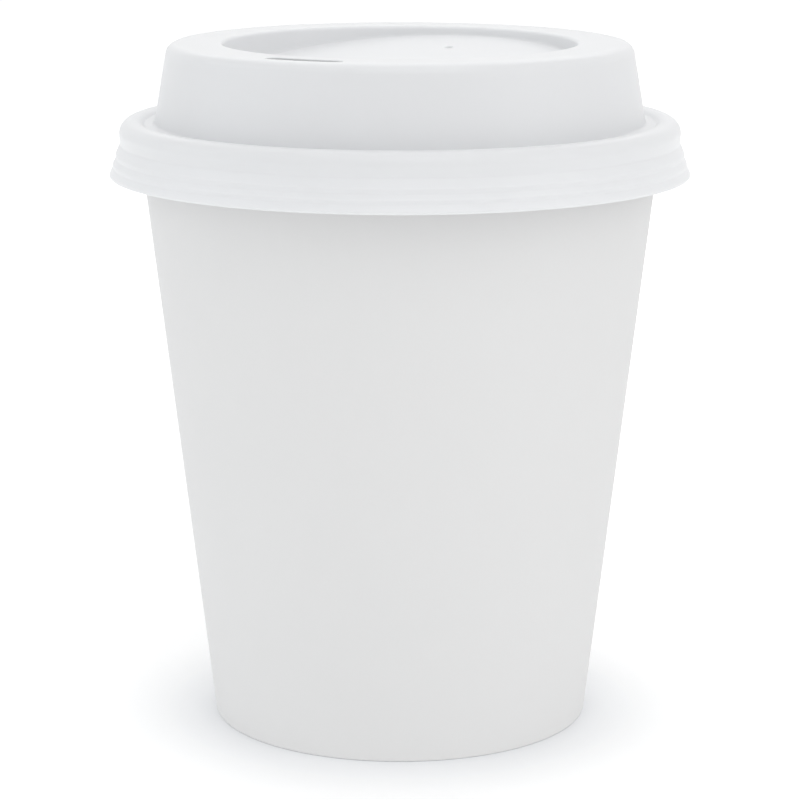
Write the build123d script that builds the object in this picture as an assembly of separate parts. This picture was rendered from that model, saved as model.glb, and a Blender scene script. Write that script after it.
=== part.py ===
from build123d import *
import os
from math import acos, atan, cos, degrees, radians, sin, tan

# Single-wall paper coffee cup with its thermoformed sip lid.
#
# Three pieces, each its own solid: the rolled paperboard side wall, the paperboard bottom set
# into it, and the plastic lid that snaps over the rolled rim. Millimetres, +Z up. The origin is
# the centre of the base, on the surface that the cup stands on. The sip slot is at -Y and the
# side seam of the wall at +Y.

# ---- cup: driving dimensions ----
cup_height = 88.05        # base to the top of the rolled rim
base_radius = 27.62       # outer face of the wall, at the base
mouth_radius = 38.0       # outer face of the wall, carried up to the rim's height
board = 0.38              # paperboard thickness
bond_gap = 0.03           # film of coating between two bonded boards

curl_radius = 1.15        # outside radius of the rolled rim
curl_turn = 285           # degrees that the rim is rolled through

fold_slack = 0.06         # inside radius of the fold under the base
hem_height = 5.6          # top of the board folded up inside the base
bottom_height = 7.0       # liquid side of the bottom, above the base
bottom_round = 1.0        # outside radius of the bend round the bottom's edge

seam_width = 7.0          # overlap of the wall's two ends
seam_ramp = 1.4           # length over which the outer end climbs on to the inner one
seam_bite = 0.05          # depth to which the lap is bonded into the wall
seam_rim_gap = 0.35       # from the top of the lap to the underside of the rolled rim

# ---- lid: driving dimensions ----
lid_sheet = 0.40          # thickness of the formed sheet
lid_rise = 11.52          # top of the lid above the top of the rim
rim_clearance = 0.44      # rolled rim to the bead around it
seat_gap = 0.28           # top of the rolled rim to the bead above it
snap_clearance = 0.30     # rolled rim to the waist below the bead
bead_crown = 0.24         # flat at the top of the bead

dome_inset = 1.98         # foot of the dome, inwards from the inside of the mouth
dome_lean = 2.0           # how much narrower the dome is at its top
dome_round = 1.68         # outside radius of the dome's top edge
trough_depth = 0.70       # crest of the bead down to the trough inside it
trough_round = 0.45       # outside radius at both sides of the trough

waist_drop = 1.46         # centre of the bead down to the waist
waist_round = 0.75        # outside radius of the waist
skirt_round = 0.55        # outside radius of each ring of the skirt
# rings of the skirt, from the waist down: each flares out, then runs straight down
skirt_rings = (           # (out, down over the flare, straight down)
    (0.63, 1.40, 0.65),
    (0.42, 0.80, 0.50),
    (0.50, 0.95, 0.34),
)

ring_width = 7.9          # flat ring of the top, from the recess to the dome's edge
recess_draft = 8.5        # degrees that the recess's wall leans
recess_front_depth = 7.3  # below the top, at the wall beside the sip slot
recess_back_depth = 1.2   # below the top, at the wall opposite the sip slot
recess_rim_round = 0.60   # outside radius of the recess's upper edge
recess_foot_round = 0.50  # radius between the recess's wall and floor

sip_inset = 3.5           # centre line of the sip slot, inwards from the dome's edge
sip_width = 2.4           # across the slot
sip_length = 11.6         # along the slot, end to end
vent_radius = 0.6
vent_offset = 16.6        # from the lid's axis, away from the sip slot

# ---- worked out ----
slope = (mouth_radius - base_radius) / cup_height     # outward lean of the wall
lean = atan(slope)
along = 1 / cos(lean)                                 # horizontal share of a wall thickness

rim_z = cup_height - curl_radius                      # centre of the rolled rim's section
roll_inside = curl_radius - board
rim_start_z = rim_z + roll_inside * sin(lean)
rim_r = base_radius + slope * rim_start_z + roll_inside * cos(lean)
mouth_inside = rim_r - curl_radius

bead_inside = curl_radius + rim_clearance             # section radius of the bead's inner face
bead_z = rim_z + seat_gap - rim_clearance
lid_top = cup_height + lid_rise

dome_foot_radius = mouth_inside - dome_inset
dome_top_radius = dome_foot_radius - dome_lean
recess_radius = dome_top_radius - ring_width
sip_radius = dome_top_radius - sip_inset

os.makedirs("parts", exist_ok=True)


def wall_face(z, depth=0.0):
    """Radius, at height z, of the face that lies depth inside the wall's outer face."""
    return base_radius + slope * z - depth * along


def turned(face):
    """Solid turned about Z from a half section drawn on the XZ plane."""
    return revolve(face, axis=Axis.Z)


def closed_face(*edges):
    """Plane face inside a closed chain of edges."""
    return Face(Wire(edges))


def other_face(path, depth):
    """Lines and arcs that follow a half section's path, depth to its right hand."""
    def moved(edge, share):
        heading = edge % share
        return edge @ share + Vector(heading.Z, 0, -heading.X) * depth

    edges = []
    for edge in path.order_edges():
        start, end = moved(edge, 0), moved(edge, 1)
        if edge.geom_type == GeomType.LINE:
            edges.append(Edge.make_line(start, end))
        else:
            edges.append(Edge.make_three_point_arc(start, moved(edge, 0.5), end))
    return edges


def turned_sheet(path, depth):
    """Turned sheet whose one face is the path and whose other lies depth to its right."""
    skin = other_face(path, depth)
    ends = [Edge.make_line(path @ 0, skin[0] @ 0), Edge.make_line(path @ 1, skin[-1] @ 1)]
    return turned(closed_face(*path.edges(), *skin, *ends))


# ---- side wall ----
def wall_sheet():
    """The rolled board: hem, fold under the base, wall and rolled rim, as one turned strip."""
    hem_depth = 3 * board + 2 * bond_gap
    fold_round = board + fold_slack
    with BuildLine(Plane.XZ) as path:
        run = FilletPolyline(
            (wall_face(hem_height, hem_depth), hem_height),
            (wall_face(0, hem_depth), 0),
            (wall_face(0), 0),
            (wall_face(rim_start_z), rim_start_z),
            radius=fold_round,
        )
        JernArc(start=run @ 1, tangent=run % 1, radius=roll_inside, arc_size=-curl_turn)
    return turned_sheet(path.wire(), -board)


def lap_section(z):
    """Section of the outer end of the board at height z, where it lies on the inner end."""
    low = wall_face(z, seam_bite)
    high = wall_face(z) + board * along
    half = seam_width / 2 / high
    foot = half + seam_ramp / high
    cut_edge = 90 - degrees(half)
    crest = 90 + degrees(half)
    ramp_foot = 90 + degrees(foot)

    def at(radius, angle):
        return Vector(radius, 0, z).rotate(Axis.Z, angle)

    top = ThreePointArc(at(high, cut_edge), at(high, 90), at(high, crest))
    ramp = Line(at(high, crest), at(low, ramp_foot))
    under = ThreePointArc(at(low, ramp_foot), at(low, 90), at(low, cut_edge))
    end = Line(at(low, cut_edge), at(high, cut_edge))
    return closed_face(top, ramp, under, end)


def side_seam():
    """Outer lap of the side seam, from above the fold to just under the rolled rim."""
    low_z = board + fold_slack
    high_z = rim_z - curl_radius - seam_rim_gap
    return loft([lap_section(low_z), lap_section(high_z)], ruled=True)


def side_wall():
    """Side wall of the cup, one rolled piece of board."""
    return wall_sheet() + side_seam()


# ---- bottom ----
def bottom_disc():
    """Bottom: a board disc whose edge is turned down between the wall and its hem."""
    face_depth = board + bond_gap
    leg_end = board + bond_gap
    with BuildLine(Plane.XZ) as path:
        FilletPolyline(
            (0, bottom_height),
            (wall_face(bottom_height, face_depth), bottom_height),
            (wall_face(leg_end, face_depth), leg_end),
            radius=bottom_round,
        )
    return turned_sheet(path.wire(), board)


# ---- lid ----
def lid_outline():
    """Outer face of the lid sheet in half section, from the axis to the lip."""
    bead_round = bead_inside + lid_sheet
    crest_z = bead_z + bead_round
    trough_z = crest_z - trough_depth
    outer_r = rim_r + bead_crown / 2 + bead_round
    waist_r = rim_r + curl_radius + snap_clearance + lid_sheet
    waist_z = bead_z - waist_drop
    # angle at which the trough's round runs into the bead's, with a short straight between them
    rise = 0.95 * acos(1 - trough_depth / (trough_round + bead_round))
    crest_r = rim_r - bead_crown / 2 - bead_round * tan(rise / 2)
    points = [
        (0, lid_top),
        (dome_top_radius, lid_top),
        (dome_foot_radius, trough_z),
        (crest_r - trough_depth / tan(rise), trough_z),
        (crest_r, crest_z),
        (outer_r, crest_z),
        (waist_r, waist_z),
    ]
    rounds = [dome_round, trough_round, trough_round, bead_round, bead_round, waist_round]
    r, z = waist_r, waist_z
    for out, flare, straight in skirt_rings:
        r += out
        z -= flare
        points.append((r, z))
        z -= straight
        points.append((r, z))
        rounds += [skirt_round, skirt_round]
    with BuildLine(Plane.XZ) as path:
        FilletPolyline(*points, radius=rounds[:-1])
    return path.wire()


def recess_pocket(inset):
    """Room above the sunken panel of the lid, grown by inset on its wall and floor."""
    draft = radians(recess_draft)
    run = 2 * recess_radius
    tilt = atan((recess_front_depth - recess_back_depth) / run)
    middle_depth = (recess_front_depth + recess_back_depth) / 2 + inset / cos(tilt)
    above = lid_sheet
    depth = recess_front_depth + 2 * inset + recess_radius * sin(tilt)
    shrink = tan(draft)
    grown = recess_radius + inset / cos(draft)
    with BuildLine(Plane.XZ) as section:
        Polyline(
            (0, lid_top - depth),
            (grown - depth * shrink, lid_top - depth),
            (grown + above * shrink, lid_top + above),
            (0, lid_top + above),
            close=True,
        )
    cone = turned(closed_face(*section.edges()))
    floor = Plane(origin=(0, 0, lid_top - middle_depth), z_dir=(0, -sin(tilt), cos(tilt)))
    pocket = split(cone, bisect_by=floor, keep=Keep.TOP)
    foot = pocket.edges().sort_by(Axis.Z)[0]
    return fillet(foot, recess_foot_round + inset)


def lid_form(inset):
    """Solid below the face of the lid sheet that lies inset under its outer face."""
    face = other_face(lid_outline(), inset)
    top = face[0] @ 0
    lip = face[-1] @ 1
    foot = Vector(0, 0, lip.Z)
    section = closed_face(*face, Edge.make_line(lip, foot), Edge.make_line(foot, top))
    form = turned(section) - recess_pocket(inset)
    rim = [edge for edge in form.edges().filter_by(GeomType.CIRCLE)
           if abs(edge.arc_center.Z - (lid_top - inset)) < 0.01
           and edge.radius < recess_radius + 2 * inset + 0.01]
    return fillet(rim, recess_rim_round - inset)


def sip_slot():
    """Cutter for the curved drinking slot in the lid's top ring."""
    half = degrees((sip_length - sip_width) / 2 / sip_radius)
    line = CenterArc((0, 0), sip_radius, -90 - half, 2 * half)
    return Pos(0, 0, lid_top - 2 * lid_sheet) * extrude(SlotArc(line, sip_width), 3 * lid_sheet)


def vent_hole():
    """Cutter for the small hole that lets air in behind the drink."""
    return Pos(0, vent_offset, lid_top - recess_front_depth) * Cylinder(
        vent_radius, recess_front_depth, align=(Align.CENTER, Align.CENTER, Align.MIN))


def lid():
    """Sip lid, one formed sheet."""
    return lid_form(0) - lid_form(lid_sheet) - sip_slot() - vent_hole()


PIECES = {
    "side_wall": side_wall,
    "bottom_disc": bottom_disc,
    "sip_lid": lid,
}

for name, build in PIECES.items():
    export_step(build(), f"parts/{name}.step")
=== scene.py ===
"""Looks of a small paper hot-drink cup with its domed sip lid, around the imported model."""
import enum
import logging
from dataclasses import dataclass, field
from math import acos, atan, atan2, cos, hypot, pi, radians, sin, tan
from typing import Callable, Sequence

import bpy
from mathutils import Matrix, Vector


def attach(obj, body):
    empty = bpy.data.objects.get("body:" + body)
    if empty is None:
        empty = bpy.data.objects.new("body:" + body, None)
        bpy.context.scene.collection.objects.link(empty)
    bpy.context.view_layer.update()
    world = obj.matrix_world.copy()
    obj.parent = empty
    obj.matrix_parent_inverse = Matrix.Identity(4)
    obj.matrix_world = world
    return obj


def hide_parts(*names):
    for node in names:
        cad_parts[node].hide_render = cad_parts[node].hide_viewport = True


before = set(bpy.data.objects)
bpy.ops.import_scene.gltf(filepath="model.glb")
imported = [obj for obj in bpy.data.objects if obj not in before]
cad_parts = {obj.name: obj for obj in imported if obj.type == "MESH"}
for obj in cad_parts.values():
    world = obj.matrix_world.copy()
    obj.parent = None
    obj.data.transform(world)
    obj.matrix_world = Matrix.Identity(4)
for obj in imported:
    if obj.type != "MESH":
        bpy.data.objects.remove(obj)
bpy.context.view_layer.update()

log = logging.getLogger("paper_cup")
logging.basicConfig(level=logging.INFO, format="%(name)s: %(message)s")

Point = tuple[float, float]
Colour = tuple[float, float, float, float]
Group = tuple[bpy.types.NodeTree, bpy.types.Node, bpy.types.Node]
MM = 0.001
NEAR = 0.01 * MM      # places closer than this count as one
SLIVER = 0.002 * MM   # edges shorter than this are dissolved after a cut
FLARE_STEPS = 4       # rings on the rounded upper edge of a hole
SQUARE_ON = 0.9       # share of a normal along an axis from which a face counts as facing it
FACING_UP = 0.2       # share of a normal along +Z from which a face counts as an upper one


# ---------------------------------------------------------------- outlines and mesh tools
@dataclass(frozen=True)
class Corner:
    """A corner of a half section, with the round on it, in metres."""

    r: float
    z: float
    rounding: float = 0.0


def arc_points(centre: Point, radius: float, start: float, sweep: float, steps: int) -> list[Point]:
    """Points along an arc of a half section.

    Args:
        centre: Centre of the arc as (r, z).
        radius: Radius of the arc.
        start: Angle of the first point, in radians.
        sweep: Signed angle that the arc covers, in radians.
        steps: Number of equal pieces.

    Returns:
        The steps + 1 points, both ends included.
    """
    angles = [start + sweep * k / steps for k in range(steps + 1)]
    return [(centre[0] + radius * cos(a), centre[1] + radius * sin(a)) for a in angles]


def rounded(corners: Sequence[Corner], step_angle: float = radians(9)) -> list[Point]:
    """Outline through corners, with every rounded corner replaced by its arc.

    Args:
        corners: Corners in order, the first and last being plain ends.
        step_angle: Largest turn between two points of an arc.

    Returns:
        The outline's points as (r, z).
    """
    points: list[Point] = [(corners[0].r, corners[0].z)]
    for before, here, after in zip(corners, corners[1:], corners[2:]):
        heading_in = atan2(here.z - before.z, here.r - before.r)
        heading_out = atan2(after.z - here.z, after.r - here.r)
        turn = (heading_out - heading_in + pi) % (2 * pi) - pi
        if here.rounding == 0 or abs(turn) < 1e-6:
            points.append((here.r, here.z))
            continue
        side = 1 if turn > 0 else -1
        back = here.rounding * tan(abs(turn) / 2)
        start = (here.r - back * cos(heading_in), here.z - back * sin(heading_in))
        to_centre = heading_in + side * pi / 2
        centre = (start[0] + here.rounding * cos(to_centre), start[1] + here.rounding * sin(to_centre))
        steps = max(2, round(abs(turn) / step_angle))
        points += arc_points(centre, here.rounding, to_centre + pi, turn, steps)
    points.append((corners[-1].r, corners[-1].z))
    return points


def deselect_objects() -> None:
    """Leave no object selected, in object mode."""
    if bpy.context.object and bpy.context.object.mode != "OBJECT":
        bpy.ops.object.mode_set(mode="OBJECT")
    bpy.ops.object.select_all(action="DESELECT")


def lathe(name: str, outline: Sequence[Point], steps: int, start: float = 0.0, sweep: float = 2 * pi,
          closed: bool = False) -> bpy.types.Object:
    """Draw a half section point by point and spin it about Z, anticlockwise from above.

    Args:
        name: Name of the new object.
        outline: Half section as (r, z) in metres.
        steps: Number of segments of the spin.
        start: Angle from +X at which the spin begins, in radians.
        sweep: Angle of the spin, in radians.
        closed: Whether the section's last point joins its first.

    Returns:
        The turned object, at the origin.
    """
    deselect_objects()
    bpy.ops.mesh.primitive_plane_add(size=MM, location=(0, 0, 0))
    piece = bpy.context.object
    piece.name = name
    piece.data.name = name
    bpy.ops.object.mode_set(mode="EDIT")
    bpy.ops.mesh.select_all(action="SELECT")
    bpy.ops.mesh.merge(type="CENTER")
    first = outline[0]
    bpy.ops.transform.translate(value=(first[0], 0, first[1]))
    previous = first
    for point in outline[1:]:
        step = (point[0] - previous[0], 0, point[1] - previous[1])
        bpy.ops.mesh.extrude_region_move(TRANSFORM_OT_translate={"value": step})
        previous = point
    if closed:
        step = (first[0] - previous[0], 0, first[1] - previous[1])
        bpy.ops.mesh.extrude_region_move(TRANSFORM_OT_translate={"value": step})
    bpy.ops.mesh.select_all(action="SELECT")
    bpy.ops.mesh.remove_doubles(threshold=1e-7)
    turn_about("Z", start, (0, 0, 0))
    bpy.ops.mesh.select_all(action="SELECT")
    bpy.ops.mesh.spin(steps=steps, angle=sweep, center=(0, 0, 0), axis=(0, 0, -1))
    bpy.ops.mesh.select_all(action="SELECT")
    bpy.ops.mesh.remove_doubles(threshold=1e-6)
    if closed and sweep < 2 * pi - 1e-6:
        bpy.ops.mesh.select_all(action="DESELECT")
        bpy.ops.mesh.select_mode(type="EDGE")
        bpy.ops.mesh.select_non_manifold(extend=False)
        bpy.ops.mesh.edge_face_add()
        bpy.ops.mesh.select_mode(type="VERT")
    bpy.ops.mesh.select_all(action="SELECT")
    bpy.ops.mesh.normals_make_consistent(inside=False)
    bpy.ops.object.mode_set(mode="OBJECT")
    return piece


def edit_vertices(piece: bpy.types.Object, chosen: Callable[[Vector], bool]) -> None:
    """Open a piece in edit mode with only the chosen vertices selected.

    Args:
        piece: Object to edit.
        chosen: Says of a vertex's place whether it is selected.
    """
    deselect_objects()
    bpy.context.view_layer.objects.active = piece
    piece.select_set(True)
    bpy.ops.object.mode_set(mode="EDIT")
    bpy.ops.mesh.select_mode(type="VERT")
    bpy.ops.mesh.select_all(action="DESELECT")
    bpy.ops.object.mode_set(mode="OBJECT")
    for vertex in piece.data.vertices:
        vertex.select = chosen(vertex.co)
    bpy.ops.object.mode_set(mode="EDIT")
    bpy.ops.mesh.select_mode(type="VERT")


def edit_edges(piece: bpy.types.Object, chosen: Callable[[Vector, Vector], bool]) -> None:
    """Open a piece in edit mode with only the chosen edges selected.

    Args:
        piece: Object to edit.
        chosen: Says of the places of an edge's two ends whether the edge is selected.
    """
    deselect_objects()
    bpy.context.view_layer.objects.active = piece
    piece.select_set(True)
    bpy.ops.object.mode_set(mode="EDIT")
    bpy.ops.mesh.select_mode(type="EDGE")
    bpy.ops.mesh.select_all(action="DESELECT")
    bpy.ops.object.mode_set(mode="OBJECT")
    places = piece.data.vertices
    for edge in piece.data.edges:
        edge.select = chosen(places[edge.vertices[0]].co, places[edge.vertices[1]].co)
    bpy.ops.object.mode_set(mode="EDIT")


def turn_about(axis: str, angle: float, centre: tuple[float, float, float]) -> None:
    """Turn what is selected in edit mode by the right-hand rule.

    Args:
        axis: "X", "Y" or "Z".
        angle: Angle in radians. The operator turns the other way in a run with no window.
        centre: Point that the axis passes through.
    """
    bpy.ops.transform.rotate(value=-angle, orient_axis=axis, center_override=centre)


def flare_top(cutter: bpy.types.Object, top: float, flare: float, half_x: float, half_y: float,
              centre_y: float) -> None:
    """Extend a hole's cutter upwards so that it rounds the hole's upper edge.

    Args:
        cutter: Upright cutter whose top lies flare below the surface that it will cut.
        top: Height of the cutter's top.
        flare: Radius of the rounded edge.
        half_x: Half of the cutter's size along X.
        half_y: Half of the cutter's size along Y.
        centre_y: Middle of the cutter along Y.
    """
    edit_vertices(cutter, lambda place: place.z > top - NEAR)
    grown, height = 0.0, 0.0
    for k in range(1, FLARE_STEPS + 1):
        angle = pi / 2 * k / FLARE_STEPS
        rise = flare * sin(angle) - height
        spread = flare * (1 - cos(angle)) - grown
        bpy.ops.mesh.extrude_region_move(TRANSFORM_OT_translate={"value": (0, 0, rise)})
        wider = (1 + spread / (half_x + grown), 1 + spread / (half_y + grown), 1)
        bpy.ops.transform.resize(value=wider, center_override=(0, centre_y, top))
        grown += spread
        height += rise
    bpy.ops.mesh.extrude_region_move(TRANSFORM_OT_translate={"value": (0, 0, flare)})
    bpy.ops.mesh.select_all(action="SELECT")
    bpy.ops.mesh.normals_make_consistent(inside=False)
    bpy.ops.object.mode_set(mode="OBJECT")


def apply_modifier(piece: bpy.types.Object, kind: str, **settings: object) -> None:
    """Add a modifier, set it and apply it.

    Args:
        piece: Object to change.
        kind: Modifier type, such as "SOLIDIFY".
        **settings: Properties of the modifier.
    """
    deselect_objects()
    bpy.context.view_layer.objects.active = piece
    piece.select_set(True)
    modifier = piece.modifiers.new(kind.title(), kind)
    for key, value in settings.items():
        setattr(modifier, key, value)
    bpy.ops.object.modifier_apply(modifier=modifier.name)


def smooth(piece: bpy.types.Object, angle: float = radians(32)) -> None:
    """Shade a piece smooth, with its sharper edges kept.

    Args:
        piece: Object to shade.
        angle: Edges that turn more than this stay sharp.
    """
    deselect_objects()
    bpy.context.view_layer.objects.active = piece
    piece.select_set(True)
    bpy.ops.object.shade_smooth_by_angle(angle=angle)


def cut_away(piece: bpy.types.Object, cutter: bpy.types.Object) -> None:
    """Cut one object out of another and remove the cutter.

    Args:
        piece: Object that gets the hole.
        cutter: Closed object with the hole's shape.
    """
    apply_modifier(piece, "BOOLEAN", object=cutter, operation="DIFFERENCE", solver="EXACT")
    bpy.data.objects.remove(cutter, do_unlink=True)


# ---------------------------------------------------------------- shader groups and finishes
class Socket(enum.Enum):
    """Kinds of socket that a shader group has."""

    NUMBER = "NodeSocketFloat"
    COLOUR = "NodeSocketColor"


class MixInput(enum.IntEnum):
    """Places of a Mix node's inputs, several of which share a name."""

    FACTOR = 0
    NUMBER_A = 2
    NUMBER_B = 3
    COLOUR_A = 6
    COLOUR_B = 7


class MixOutput(enum.IntEnum):
    """Places of a Mix node's outputs."""

    NUMBER = 0
    COLOUR = 2


class BoardFace(enum.IntEnum):
    """Material places of the cup's board."""

    OUTSIDE = 0
    INSIDE = 1
    EDGE = 2


COARSE_DETAIL = 3.0     # octaves of the coarse mottle
FINE_DETAIL = 5.0       # octaves of the fine grain
FINE_ROUGHNESS = 0.62   # weight of the finest octaves


def new_group(name: str, inputs: Sequence[tuple[str, Socket]],
              outputs: Sequence[tuple[str, Socket]]) -> Group:
    """Make an empty shader node group with named sockets.

    Args:
        name: Name of the group.
        inputs: Names and kinds of the inputs.
        outputs: Names and kinds of the outputs.

    Returns:
        The group, its input node and its output node.
    """
    group = bpy.data.node_groups.new(name, "ShaderNodeTree")
    for label, kind in inputs:
        group.interface.new_socket(name=label, in_out="INPUT", socket_type=kind.value)
    for label, kind in outputs:
        group.interface.new_socket(name=label, in_out="OUTPUT", socket_type=kind.value)
    return group, group.nodes.new("NodeGroupInput"), group.nodes.new("NodeGroupOutput")


def build_mottle_group() -> bpy.types.NodeTree:
    """Build the group that mottles a colour and gives a height of coarse and fine grain.

    Returns:
        The group, with inputs Tone, Shade, Coarse Scale, Fine Scale and Fine Share, and
        outputs Colour, Height and Mask.
    """
    group, source, sink = new_group(
        "mottled_grain",
        [("Tone", Socket.COLOUR), ("Shade", Socket.COLOUR), ("Coarse Scale", Socket.NUMBER),
         ("Fine Scale", Socket.NUMBER), ("Fine Share", Socket.NUMBER)],
        [("Colour", Socket.COLOUR), ("Height", Socket.NUMBER), ("Mask", Socket.NUMBER)])
    link = group.links.new
    place = group.nodes.new("ShaderNodeTexCoord")
    coarse = group.nodes.new("ShaderNodeTexNoise")
    fine = group.nodes.new("ShaderNodeTexNoise")
    coarse.inputs["Detail"].default_value = COARSE_DETAIL
    fine.inputs["Detail"].default_value = FINE_DETAIL
    fine.inputs["Roughness"].default_value = FINE_ROUGHNESS
    blend = group.nodes.new("ShaderNodeMix")
    tint = group.nodes.new("ShaderNodeMix")
    tint.data_type = "RGBA"
    link(place.outputs["Object"], coarse.inputs["Vector"])
    link(place.outputs["Object"], fine.inputs["Vector"])
    link(source.outputs["Coarse Scale"], coarse.inputs["Scale"])
    link(source.outputs["Fine Scale"], fine.inputs["Scale"])
    link(source.outputs["Fine Share"], blend.inputs[MixInput.FACTOR])
    link(coarse.outputs["Fac"], blend.inputs[MixInput.NUMBER_A])
    link(fine.outputs["Fac"], blend.inputs[MixInput.NUMBER_B])
    link(blend.outputs[MixOutput.NUMBER], tint.inputs[MixInput.FACTOR])
    link(source.outputs["Tone"], tint.inputs[MixInput.COLOUR_A])
    link(source.outputs["Shade"], tint.inputs[MixInput.COLOUR_B])
    link(tint.outputs[MixOutput.COLOUR], sink.inputs["Colour"])
    link(blend.outputs[MixOutput.NUMBER], sink.inputs["Height"])
    link(coarse.outputs["Fac"], sink.inputs["Mask"])
    return group


@dataclass(frozen=True)
class Finish:
    """A finish: two close tones, grain, roughness range and gloss."""

    name: str
    tone: Colour
    shade: Colour
    coarse_scale: float
    fine_scale: float
    fine_share: float
    bump: float
    bump_distance: float
    smoothest: float
    roughest: float
    specular: float = 0.5
    coat: float = 0.0
    coat_roughness: float = 0.2
    subsurface: float = 0.0
    subsurface_reach: float = 0.6 * MM

    def build(self, grain: bpy.types.NodeTree) -> bpy.types.Material:
        """Build the material.

        Args:
            grain: The mottled grain group.

        Returns:
            The finished material.
        """
        material = bpy.data.materials.new(self.name)
        material.use_nodes = True
        nodes, link = material.node_tree.nodes, material.node_tree.links.new
        shader = nodes["Principled BSDF"]
        shader.inputs["Specular IOR Level"].default_value = self.specular
        shader.inputs["Coat Weight"].default_value = self.coat
        shader.inputs["Coat Roughness"].default_value = self.coat_roughness
        shader.inputs["Subsurface Weight"].default_value = self.subsurface
        shader.inputs["Subsurface Radius"].default_value = (1.0, 1.0, 1.0)
        shader.inputs["Subsurface Scale"].default_value = self.subsurface_reach
        mottle = nodes.new("ShaderNodeGroup")
        mottle.node_tree = grain
        mottle.inputs["Tone"].default_value = self.tone
        mottle.inputs["Shade"].default_value = self.shade
        mottle.inputs["Coarse Scale"].default_value = self.coarse_scale
        mottle.inputs["Fine Scale"].default_value = self.fine_scale
        mottle.inputs["Fine Share"].default_value = self.fine_share
        spread = nodes.new("ShaderNodeMapRange")
        spread.inputs["To Min"].default_value = self.smoothest
        spread.inputs["To Max"].default_value = self.roughest
        relief = nodes.new("ShaderNodeBump")
        relief.inputs["Strength"].default_value = self.bump
        relief.inputs["Distance"].default_value = self.bump_distance
        link(mottle.outputs["Colour"], shader.inputs["Base Color"])
        link(mottle.outputs["Mask"], spread.inputs["Value"])
        link(spread.outputs["Result"], shader.inputs["Roughness"])
        link(mottle.outputs["Height"], relief.inputs["Height"])
        link(relief.outputs["Normal"], shader.inputs["Normal"])
        return material


PRINTED_BOARD = Finish(
    name="white_board", tone=(0.775, 0.775, 0.775, 1), shade=(0.750, 0.750, 0.750, 1),
    coarse_scale=90, fine_scale=2600, fine_share=0.6, bump=0.35, bump_distance=0.05 * MM,
    smoothest=0.52, roughest=0.68, specular=0.2)
COATED_BOARD = Finish(
    name="coated_board", tone=(0.78, 0.78, 0.77, 1), shade=(0.75, 0.75, 0.74, 1),
    coarse_scale=120, fine_scale=1800, fine_share=0.4, bump=0.25, bump_distance=0.04 * MM,
    smoothest=0.26, roughest=0.36, coat=0.35)
RAW_EDGE = Finish(
    name="raw_board_edge", tone=(0.74, 0.725, 0.69, 1), shade=(0.62, 0.60, 0.56, 1),
    coarse_scale=500, fine_scale=6000, fine_share=0.6, bump=0.6, bump_distance=0.05 * MM,
    smoothest=0.8, roughest=0.92, specular=0.2)
LID_PLASTIC = Finish(
    name="satin_lid_plastic", tone=(0.785, 0.792, 0.805, 1), shade=(0.768, 0.776, 0.790, 1),
    coarse_scale=45, fine_scale=3200, fine_share=0.35, bump=0.10, bump_distance=0.05 * MM,
    smoothest=0.30, roughest=0.38, specular=0.45, subsurface=0.5, subsurface_reach=0.8 * MM)


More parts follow.
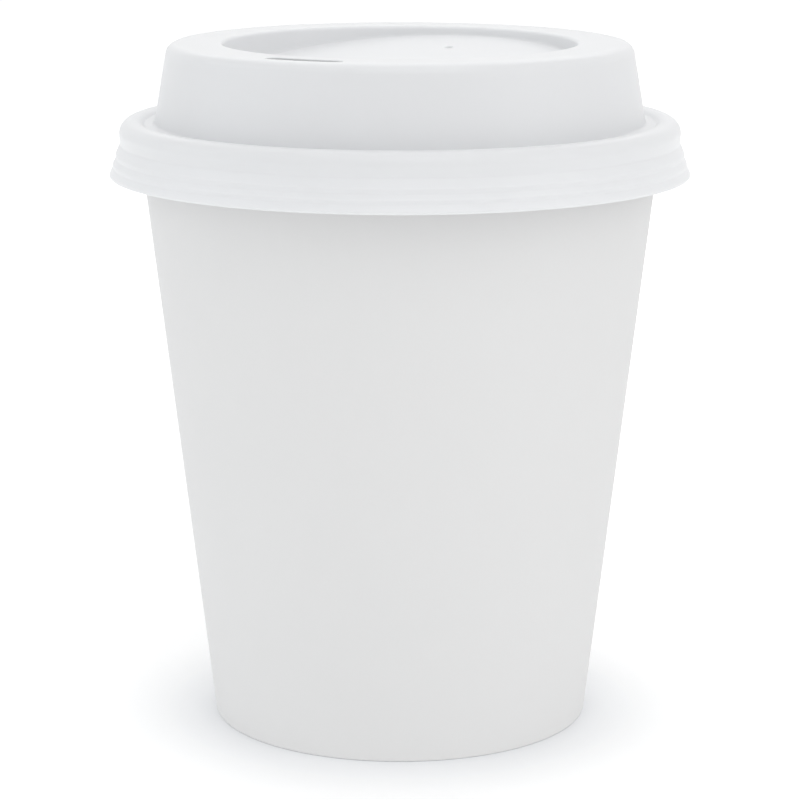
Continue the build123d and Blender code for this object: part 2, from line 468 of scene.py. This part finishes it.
# ---------------------------------------------------------------- the paper cup
@dataclass
class PaperCup:
    """Rolled side wall and bottom of the cup, sizes in metres."""

    height: float = 88.05 * MM
    base_radius: float = 27.62 * MM
    mouth_radius: float = 38.0 * MM
    board: float = 0.38 * MM
    bond_gap: float = 0.03 * MM
    curl_radius: float = 1.15 * MM
    curl_turn: float = radians(285)
    fold_slack: float = 0.06 * MM
    hem_height: float = 5.6 * MM
    bottom_height: float = 7.0 * MM
    bottom_round: float = 1.0 * MM
    seam_width: float = 7.0 * MM
    seam_ramp: float = 1.4 * MM
    seam_bite: float = 0.05 * MM
    seam_rim_gap: float = 0.35 * MM
    ring_share: float = 0.55
    steps: int = 256
    curl_steps: int = 40
    lap_steps: int = 12
    pieces: list[bpy.types.Object] = field(default_factory=list)

    @property
    def slope(self) -> float:
        """Outward lean of the wall, as a share of height."""
        return (self.mouth_radius - self.base_radius) / self.height

    @property
    def lean(self) -> float:
        """Outward lean of the wall, in radians."""
        return atan(self.slope)

    @property
    def rim_centre(self) -> Point:
        """Centre of the rolled rim's section."""
        z = self.height - self.curl_radius
        inside = self.curl_radius - self.board
        start_z = z + inside * sin(self.lean)
        return self.base_radius + self.slope * start_z + inside * cos(self.lean), z

    def wall_face(self, z: float, depth: float = 0.0) -> float:
        """Radius at height z of the face that lies depth inside the wall's outer face."""
        return self.base_radius + self.slope * z - depth / cos(self.lean)

    def section(self) -> list[Point]:
        """Closed section of the board.

        Returns:
            The section's points: the exposed face, then the face behind it in reverse.
        """
        hem = 3 * self.board + 2 * self.bond_gap
        fold = self.board + self.fold_slack
        inside = self.curl_radius - self.board
        part_way = self.height * self.ring_share

        def face(depth: float) -> list[Point]:
            """Draw one face of the board.

            Args:
                depth: Depth of the face behind the exposed one.

            Returns:
                The face's points, from the top of the hem to the end of the roll.
            """
            corners = [
                Corner(self.wall_face(self.hem_height, hem - depth), self.hem_height),
                Corner(self.wall_face(depth, hem - depth), depth, fold - depth),
                Corner(self.wall_face(depth, depth), depth, fold - depth),
                Corner(self.wall_face(part_way, depth), part_way),
            ]
            curl = arc_points(self.rim_centre, inside + depth, pi - self.lean, -self.curl_turn,
                              self.curl_steps)
            return rounded(corners) + curl

        return face(0.0) + face(self.board)[::-1]

    def build_wall(self) -> bpy.types.Object:
        """Spin the wall's closed section and add the outer lap of the side seam.

        Returns:
            The side wall.
        """
        wall = lathe("cup_wall", self.section(), self.steps, closed=True)
        lap = self.build_lap()
        deselect_objects()
        lap.select_set(True)
        wall.select_set(True)
        bpy.context.view_layer.objects.active = wall
        bpy.ops.object.join()
        smooth(wall)
        return wall

    def build_lap(self) -> bpy.types.Object:
        """Outer lap of the side seam: a strip of board of even width with a ramp on one side.

        Returns:
            The lap, lying on the wall at +Y.
        """
        low = self.board + self.fold_slack
        high = self.rim_centre[1] - self.curl_radius - self.seam_rim_gap
        middle = self.wall_face((low + high) / 2)
        width = self.seam_width / middle
        ramp = self.seam_ramp / middle
        bite = self.seam_bite
        outline = [(self.wall_face(low, bite), low), (self.wall_face(low) + self.board, low),
                   (self.wall_face(high) + self.board, high), (self.wall_face(high, bite), high)]
        lap = lathe("side_seam", outline, self.lap_steps, start=pi / 2 - width / 2, sweep=width,
                    closed=True)

        def past_seam(place: Vector, angle: float) -> bool:
            """Whether a place lies further round from +Y than an angle, on the ramp's side."""
            return atan2(-place.x, place.y) > angle

        edit_vertices(lap, lambda place: past_seam(place, width / 2 * 0.99))
        bpy.ops.mesh.extrude_region_move(TRANSFORM_OT_translate={"value": (0, 0, 0)})
        turn_about("Z", ramp, (0, 0, 0))
        bpy.ops.object.mode_set(mode="OBJECT")
        edit_vertices(lap, lambda place: past_seam(place, width / 2 + ramp / 2)
                      and hypot(place.x, place.y) > self.wall_face(place.z) + self.board / 2)
        drop = self.board + bite / 2
        end = pi / 2 + width / 2 + ramp
        bpy.ops.transform.translate(value=(-drop * cos(end), -drop * sin(end), 0))
        bpy.ops.object.mode_set(mode="OBJECT")
        for level in (low, high):
            edit_vertices(lap, lambda place: abs(place.z - level) < NEAR)
            bpy.ops.transform.resize(value=(middle / self.wall_face(level), 1, 1),
                                     center_override=(0, 0, level))
            bpy.ops.object.mode_set(mode="OBJECT")
        return lap

    def build_bottom(self) -> bpy.types.Object:
        """Spin the bottom: a disc with its edge turned down between wall and hem.

        Returns:
            The bottom.
        """
        skin = self.board + self.bond_gap

        def face(depth: float) -> list[Point]:
            """Draw one face of the bottom's board.

            Args:
                depth: Depth of the face under the liquid side.

            Returns:
                The face's points, from the axis to the end of the turned edge.
            """
            top = self.bottom_height - depth
            return rounded([
                Corner(0.0, top),
                Corner(self.wall_face(top, skin + depth), top, self.bottom_round - depth),
                Corner(self.wall_face(skin, skin + depth), skin),
            ])

        bottom = lathe("cup_bottom", face(0.0) + face(self.board)[::-1], self.steps)
        smooth(bottom)
        return bottom

    def dress(self, wall: bpy.types.Object, bottom: bpy.types.Object, outside: bpy.types.Material,
              inside: bpy.types.Material, edge: bpy.types.Material) -> None:
        """Give the outer faces, the coated inner faces and the cut edges their finishes.

        Args:
            wall: The side wall.
            bottom: The bottom.
            outside: Finish of the outer faces.
            inside: Finish of the faces that meet the drink.
            edge: Finish of the board's cut edges.
        """
        for piece in (wall, bottom):
            for material in (outside, inside, edge):
                piece.data.materials.append(material)
        rim_r, rim_z = self.rim_centre
        roll_band = self.board / 10
        inner_depth = self.board * 0.6
        lap_depth = self.seam_bite * 1.1
        for polygon in wall.data.polygons:
            x, y, z = polygon.center
            across, upwards = polygon.normal.x, polygon.normal.z
            radius = hypot(x, y)
            inward = across * x + polygon.normal.y * y < 0
            on_roll = abs(hypot(radius - rim_r, z - rim_z) - self.curl_radius) < roll_band
            in_cup = inward and z > self.hem_height and radius < self.wall_face(z, inner_depth)
            at_seam = y > 0 and abs(x) < self.seam_width
            on_lap = at_seam and radius > self.wall_face(z, lap_depth)
            cut = abs(across) > SQUARE_ON or abs(upwards) > SQUARE_ON
            on_hem_top = abs(z - self.hem_height) < NEAR and upwards > SQUARE_ON
            if on_roll or in_cup:
                polygon.material_index = BoardFace.INSIDE
            elif (on_lap and cut) or on_hem_top:
                polygon.material_index = BoardFace.EDGE
        for polygon in bottom.data.polygons:
            upper = polygon.normal.z > FACING_UP
            polygon.material_index = BoardFace.INSIDE if upper else BoardFace.OUTSIDE

    def build(self, outside: bpy.types.Material, inside: bpy.types.Material,
              edge: bpy.types.Material) -> None:
        """Build, dress and place both pieces on the cup body.

        Args:
            outside: Finish of the outer faces.
            inside: Finish of the faces that meet the drink.
            edge: Finish of the board's cut edges.
        """
        wall = self.build_wall()
        bottom = self.build_bottom()
        self.dress(wall, bottom, outside, inside, edge)
        for piece, node in ((wall, "side_wall"), (bottom, "bottom_disc")):
            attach(piece, "cup")
            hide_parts(node)
            self.pieces.append(piece)


# ---------------------------------------------------------------- the lid
@dataclass
class SipLid:
    """Formed lid, sizes in metres."""

    rim_centre: Point
    curl_radius: float
    cup_height: float
    rise: float = 11.52 * MM
    sheet: float = 0.40 * MM
    rim_clearance: float = 0.44 * MM
    seat_gap: float = 0.28 * MM
    snap_clearance: float = 0.30 * MM
    bead_crown: float = 0.24 * MM
    dome_inset: float = 1.98 * MM
    dome_lean: float = 2.0 * MM
    dome_round: float = 1.68 * MM
    trough_depth: float = 0.70 * MM
    trough_round: float = 0.45 * MM
    waist_drop: float = 1.46 * MM
    waist_round: float = 0.75 * MM
    skirt_round: float = 0.55 * MM
    skirt_rings: tuple[tuple[float, float, float], ...] = (
        (0.63 * MM, 1.40 * MM, 0.65 * MM),
        (0.42 * MM, 0.80 * MM, 0.50 * MM),
        (0.50 * MM, 0.95 * MM, 0.34 * MM),
    )
    ring_width: float = 7.9 * MM
    recess_draft: float = radians(8.5)
    recess_front_depth: float = 7.3 * MM
    recess_back_depth: float = 1.2 * MM
    recess_rim_round: float = 0.60 * MM
    recess_foot_round: float = 0.50 * MM
    sip_inset: float = 3.5 * MM
    sip_width: float = 2.4 * MM
    sip_length: float = 11.6 * MM
    vent_radius: float = 0.6 * MM
    vent_offset: float = 16.6 * MM
    hole_flare: float = 0.16 * MM
    trough_share: float = 0.95
    end_share: float = 0.98
    panel_rings: tuple[float, ...] = (0.0, 0.3, 0.6, 0.85)
    steps: int = 256
    slot_steps: int = 4
    end_steps: int = 10
    vent_steps: int = 32

    @property
    def top(self) -> float:
        """Height of the flat top ring above the base."""
        return self.cup_height + self.rise

    @property
    def dome_foot(self) -> float:
        """Radius of the dome where it meets the trough."""
        return self.rim_centre[0] - self.curl_radius - self.dome_inset

    @property
    def dome_top(self) -> float:
        """Radius of the dome's upper edge, before its round."""
        return self.dome_foot - self.dome_lean

    @property
    def recess_radius(self) -> float:
        """Radius of the recess at the lid's top, before its round."""
        return self.dome_top - self.ring_width

    @property
    def tilt(self) -> float:
        """Rise of the sunken panel for each metre towards +Y."""
        return (self.recess_front_depth - self.recess_back_depth) / (2 * self.recess_radius)

    @property
    def middle_depth(self) -> float:
        """Depth of the sunken panel on the lid's axis."""
        return (self.recess_front_depth + self.recess_back_depth) / 2

    def outline(self) -> list[Point]:
        """Outer face in half section, from the centre of the panel to the lip.

        Returns:
            The outline, with the panel drawn level at its middle depth.
        """
        rim_r, rim_z = self.rim_centre
        bead = self.curl_radius + self.rim_clearance + self.sheet
        bead_z = rim_z + self.seat_gap - self.rim_clearance
        crest = bead_z + bead
        trough = crest - self.trough_depth
        climb = self.trough_share * acos(1 - self.trough_depth / (self.trough_round + bead))
        crest_r = rim_r - self.bead_crown / 2 - bead * tan(climb / 2)
        waist = rim_r + self.curl_radius + self.snap_clearance + self.sheet
        floor = self.top - self.middle_depth
        foot = self.recess_radius - self.middle_depth * tan(self.recess_draft)
        inner_rings = [Corner(foot * share, floor) for share in self.panel_rings]
        corners = inner_rings + [
            Corner(foot, floor, self.recess_foot_round),
            Corner(self.recess_radius, self.top, self.recess_rim_round),
            Corner(self.dome_top, self.top, self.dome_round),
            Corner(self.dome_foot, trough, self.trough_round),
            Corner(crest_r - self.trough_depth / tan(climb), trough, self.trough_round),
            Corner(crest_r, crest, bead),
            Corner(rim_r + self.bead_crown / 2 + bead, crest, bead),
            Corner(waist, bead_z - self.waist_drop, self.waist_round),
        ]
        r, z = waist, bead_z - self.waist_drop
        for out, flare, straight in self.skirt_rings:
            r += out
            z -= flare
            corners.append(Corner(r, z, self.skirt_round))
            z -= straight
            corners.append(Corner(r, z, self.skirt_round))
        corners[-1] = Corner(r, z)
        return rounded(corners)

    def settle_panel(self, shell: bpy.types.Object) -> None:
        """Tilt the sunken panel towards the sip slot, so that its edge follows the recess's wall.

        Args:
            shell: The spun outer face, with its panel still level.
        """
        slant = tan(self.recess_draft)
        floor = self.top - self.middle_depth
        foot = self.recess_radius - self.middle_depth * slant
        foot_top = floor + self.recess_foot_round * (1 - sin(self.recess_draft))
        angle = atan(self.tilt)
        shift = self.tilt * slant * foot
        middle = (0, 0, floor)
        edit_vertices(shell, lambda place: hypot(place.x, place.y) < self.recess_radius
                      and place.z < foot_top + NEAR)
        bpy.ops.transform.resize(value=(1, 1 / cos(angle), 1), center_override=middle)
        turn_about("X", angle, middle)
        bpy.ops.transform.translate(value=(0, shift, shift * self.tilt))
        bpy.ops.object.mode_set(mode="OBJECT")

    def slot_cutter(self) -> bpy.types.Object:
        """Upright cutter for the curved sip slot, with round ends and a flared top.

        Returns:
            The closed cutter.
        """
        radius = self.dome_top - self.sip_inset
        reach = self.sip_width / 2
        sweep = self.sip_length / radius
        bottom = self.top - 3 * self.sheet
        top = self.top - self.hole_flare
        outline = [(radius - reach, bottom), (radius + reach, bottom), (radius + reach, top),
                   (radius - reach, top)]
        cutter = lathe("slot_cutter", outline, self.slot_steps, start=-pi / 2 - sweep / 2, sweep=sweep,
                       closed=True)

        def upright_end(a: Vector, b: Vector) -> bool:
            """Whether an edge stands upright at one end of the slot."""
            upright = abs(a.z - b.z) > self.sheet and hypot(a.x - b.x, a.y - b.y) < NEAR
            return upright and abs(atan2(a.x, -a.y)) > sweep * 0.49

        edit_edges(cutter, upright_end)
        bpy.ops.mesh.bevel(offset=reach * self.end_share, offset_type="OFFSET", segments=self.end_steps,
                           profile=0.5, affect="EDGES")
        bpy.ops.object.mode_set(mode="OBJECT")
        flare_top(cutter, top, self.hole_flare, self.sip_length / 2, reach, -radius)
        return cutter

    def vent_cutter(self) -> bpy.types.Object:
        """Upright cutter for the vent hole, with a flared top.

        Returns:
            The closed cutter.
        """
        surface = self.top - self.middle_depth + self.tilt * self.vent_offset
        depth = 3 * self.sheet
        top = surface - self.hole_flare
        deselect_objects()
        bpy.ops.mesh.primitive_cylinder_add(
            vertices=self.vent_steps, radius=self.vent_radius, depth=depth,
            location=(0, self.vent_offset, top - depth / 2))
        cutter = bpy.context.object
        bpy.ops.object.transform_apply(location=True, rotation=False, scale=False)
        flare_top(cutter, top, self.hole_flare, self.vent_radius, self.vent_radius, self.vent_offset)
        return cutter

    def build(self, plastic: bpy.types.Material) -> bpy.types.Object:
        """Spin, tilt, thicken, pierce and dress the lid.

        Args:
            plastic: Finish of the sheet.

        Returns:
            The lid.
        """
        shell = lathe("sip_lid_sheet", self.outline(), self.steps)
        self.settle_panel(shell)
        apply_modifier(shell, "SOLIDIFY", thickness=self.sheet, offset=-1.0, use_even_offset=True)
        cut_away(shell, self.slot_cutter())
        cut_away(shell, self.vent_cutter())
        edit_vertices(shell, lambda place: True)
        bpy.ops.mesh.dissolve_degenerate(threshold=SLIVER)
        bpy.ops.object.mode_set(mode="OBJECT")
        smooth(shell)
        shell.data.materials.clear()
        shell.data.materials.append(plastic)
        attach(shell, "lid")
        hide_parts("sip_lid")
        return shell


# ---------------------------------------------------------------- studio
@dataclass(frozen=True)
class SoftLight:
    """A rectangular soft light that faces the cup."""

    name: str
    azimuth: float
    elevation: float
    distance: float
    size: float
    power: float
    colour: tuple[float, float, float] = (1.0, 1.0, 1.0)

    def build(self, target: Sequence[float]) -> None:
        """Add the light.

        Args:
            target: Point that the light faces.
        """
        lamp = bpy.data.lights.new(self.name, "AREA")
        lamp.shape = "SQUARE"
        lamp.size = self.size
        lamp.energy = self.power
        lamp.color = self.colour
        holder = bpy.data.objects.new(self.name, lamp)
        bpy.context.scene.collection.objects.link(holder)
        reach = self.distance * cos(self.elevation)
        holder.location = (target[0] + reach * sin(self.azimuth), target[1] - reach * cos(self.azimuth),
                           target[2] + self.distance * sin(self.elevation))
        holder.rotation_euler = (pi / 2 - self.elevation, 0, self.azimuth)


def seen_directly(tree: bpy.types.NodeTree) -> bpy.types.Node:
    """Add nodes that tell rays which show a background from rays which only light the object.

    Args:
        tree: Node tree of the world or of a material.

    Returns:
        A node whose Value is 1 for camera, glossy and transmitted rays, and else 0.
    """
    path = tree.nodes.new("ShaderNodeLightPath")
    either = tree.nodes.new("ShaderNodeMath")
    either.operation = "MAXIMUM"
    value = tree.nodes.new("ShaderNodeMath")
    value.operation = "MAXIMUM"
    tree.links.new(path.outputs["Is Camera Ray"], either.inputs[0])
    tree.links.new(path.outputs["Is Glossy Ray"], either.inputs[1])
    tree.links.new(either.outputs["Value"], value.inputs[0])
    tree.links.new(path.outputs["Is Transmission Ray"], value.inputs[1])
    return value


@dataclass
class Studio:
    """Camera, floor, world and lights around the standing cup."""

    view_azimuth: float = radians(26.0)
    view_pitch: float = radians(12.18)
    view_distance: float = 0.42823
    view_height: float = 0.13912
    lens: float = 133.32
    clip_start: float = 0.01
    sky: float = 0.68
    sky_tone: Colour = (0.995, 0.998, 1.0, 1)
    floor_radius: float = 6.0
    floor_sides: int = 96
    floor_roughness: float = 0.9
    floor_tone: Colour = (0.92, 0.92, 0.92, 1)
    # painted contact shadow: floor colour at full occlusion, and reach of the occlusion tint
    shadow_tone: Colour = (0.56, 0.575, 0.60, 1)
    shadow_reach: float = 0.018
    bounce: float = 0.22
    near_glow: float = 0.20
    far_glow: float = 0.42
    glow_start: float = 0.06
    glow_end: float = 0.30
    light_distance: float = 0.9
    light_target: tuple[float, float, float] = (0.0, 0.0, 0.05)

    def add_camera(self) -> None:
        """Place the camera and make it the scene's own."""
        data = bpy.data.cameras.new("view")
        data.lens = self.lens
        data.sensor_width = 36.0
        data.clip_start = self.clip_start
        camera = bpy.data.objects.new("view", data)
        bpy.context.scene.collection.objects.link(camera)
        camera.location = (self.view_distance * sin(self.view_azimuth),
                           -self.view_distance * cos(self.view_azimuth), self.view_height)
        camera.rotation_euler = (pi / 2 - self.view_pitch, 0, self.view_azimuth)
        bpy.context.scene.camera = camera

    def add_world(self) -> None:
        """Light the object evenly, and show plain white behind it."""
        world = bpy.data.worlds.new("white_room")
        world.use_nodes = True
        bpy.context.scene.world = world
        nodes, link = world.node_tree.nodes, world.node_tree.links.new
        soft = nodes["Background"]
        soft.inputs["Color"].default_value = self.sky_tone
        soft.inputs["Strength"].default_value = self.sky
        white = nodes.new("ShaderNodeBackground")
        white.inputs["Strength"].default_value = 1.0
        white.inputs["Color"].default_value = (1, 1, 1, 1)
        seen = seen_directly(world.node_tree)
        mix = nodes.new("ShaderNodeMixShader")
        link(seen.outputs["Value"], mix.inputs["Fac"])
        link(soft.outputs["Background"], mix.inputs[1])
        link(white.outputs["Background"], mix.inputs[2])
        link(mix.outputs["Shader"], nodes["World Output"].inputs["Surface"])

    def build_floor_paint(self) -> bpy.types.Material:
        """Build a paint that is pale in every light and shows as white, with a painted contact shadow:
        an ambient-occlusion tint darkens it near the cup for camera, glossy and transmitted rays.

        Returns:
            The floor's material.
        """
        paint = bpy.data.materials.new("floor_white")
        paint.use_nodes = True
        nodes, link = paint.node_tree.nodes, paint.node_tree.links.new
        shader = nodes["Principled BSDF"]
        shader.inputs["Roughness"].default_value = self.floor_roughness
        shader.inputs["Specular IOR Level"].default_value = 0.0
        # painted contact shadow: ambient occlusion near the cup tints the floor's colour and glow
        # towards shadow_tone
        painted_contact_shade = nodes.new("ShaderNodeAmbientOcclusion")
        painted_contact_shade.inputs["Distance"].default_value = self.shadow_reach
        tone = nodes.new("ShaderNodeMix")
        tone.data_type = "RGBA"
        tone.inputs[MixInput.COLOUR_A].default_value = self.shadow_tone
        tone.inputs[MixInput.COLOUR_B].default_value = self.floor_tone
        place = nodes.new("ShaderNodeTexCoord")
        away = nodes.new("ShaderNodeVectorMath")
        away.operation = "LENGTH"
        spread = nodes.new("ShaderNodeMapRange")
        spread.inputs["From Min"].default_value = self.glow_start
        spread.inputs["From Max"].default_value = self.glow_end
        spread.inputs["To Min"].default_value = self.near_glow
        spread.inputs["To Max"].default_value = self.far_glow
        seen = seen_directly(paint.node_tree)
        level = nodes.new("ShaderNodeMix")
        level.inputs[MixInput.NUMBER_A].default_value = self.bounce
        glow = nodes.new("ShaderNodeEmission")
        add = nodes.new("ShaderNodeAddShader")
        # camera, glossy and transmitted rays see the painted shadow; other rays get the plain floor tone
        shade = nodes.new("ShaderNodeMix")
        shade.inputs[MixInput.NUMBER_A].default_value = 1.0
        link(seen.outputs["Value"], shade.inputs[MixInput.FACTOR])
        link(painted_contact_shade.outputs["AO"], shade.inputs[MixInput.NUMBER_B])
        link(shade.outputs[MixOutput.NUMBER], tone.inputs[MixInput.FACTOR])
        link(tone.outputs[MixOutput.COLOUR], shader.inputs["Base Color"])
        link(tone.outputs[MixOutput.COLOUR], glow.inputs["Color"])
        link(place.outputs["Object"], away.inputs[0])
        link(away.outputs["Value"], spread.inputs["Value"])
        link(seen.outputs["Value"], level.inputs[MixInput.FACTOR])
        link(spread.outputs["Result"], level.inputs[MixInput.NUMBER_B])
        link(level.outputs[MixOutput.NUMBER], glow.inputs["Strength"])
        link(shader.outputs["BSDF"], add.inputs[0])
        link(glow.outputs["Emission"], add.inputs[1])
        link(add.outputs["Shader"], nodes["Material Output"].inputs["Surface"])
        return paint

    def add_floor(self) -> None:
        """Add a pale floor that keeps the cup's real soft shadow and adds a painted contact shadow
        around its base.
        """
        deselect_objects()
        bpy.ops.mesh.primitive_circle_add(vertices=self.floor_sides, radius=self.floor_radius,
                                          fill_type="NGON")
        floor = bpy.context.object
        floor.name = "floor"
        floor.data.materials.append(self.build_floor_paint())

    def add_lights(self) -> None:
        """Add the soft lights, placed about the view's own azimuth."""
        front = self.view_azimuth
        reach = self.light_distance
        for light in (
            SoftLight("key_right", azimuth=front + radians(62), elevation=radians(28),
                      distance=reach, size=0.6, power=0.75),
            SoftLight("fill_left", azimuth=front - radians(84), elevation=radians(20),
                      distance=reach, size=0.7, power=0.75, colour=(0.90, 0.96, 1.0)),
            SoftLight("front_high", azimuth=front + radians(12), elevation=radians(52),
                      distance=reach, size=0.5, power=0.75),
            SoftLight("top", azimuth=front, elevation=radians(80),
                      distance=reach, size=0.8, power=1.1),
            SoftLight("back", azimuth=front + pi, elevation=radians(50),
                      distance=reach, size=0.8, power=1.4),
        ):
            light.build(self.light_target)

    def build(self) -> None:
        """Set up everything that isn't part of the object."""
        bpy.context.scene.view_settings.view_transform = "Standard"
        self.add_camera()
        self.add_world()
        self.add_floor()
        self.add_lights()


def main() -> None:
    """Build the cup, the lid and the studio, and report each piece."""
    grain = build_mottle_group()
    cup = PaperCup()
    cup.build(PRINTED_BOARD.build(grain), COATED_BOARD.build(grain), RAW_EDGE.build(grain))
    for piece in cup.pieces:
        log.info("%s: %d faces", piece.name, len(piece.data.polygons))
    lid = SipLid(cup.rim_centre, cup.curl_radius, cup.height).build(LID_PLASTIC.build(grain))
    log.info("%s: %d faces", lid.name, len(lid.data.polygons))
    Studio().build()


if __name__ == "__main__":
    main()
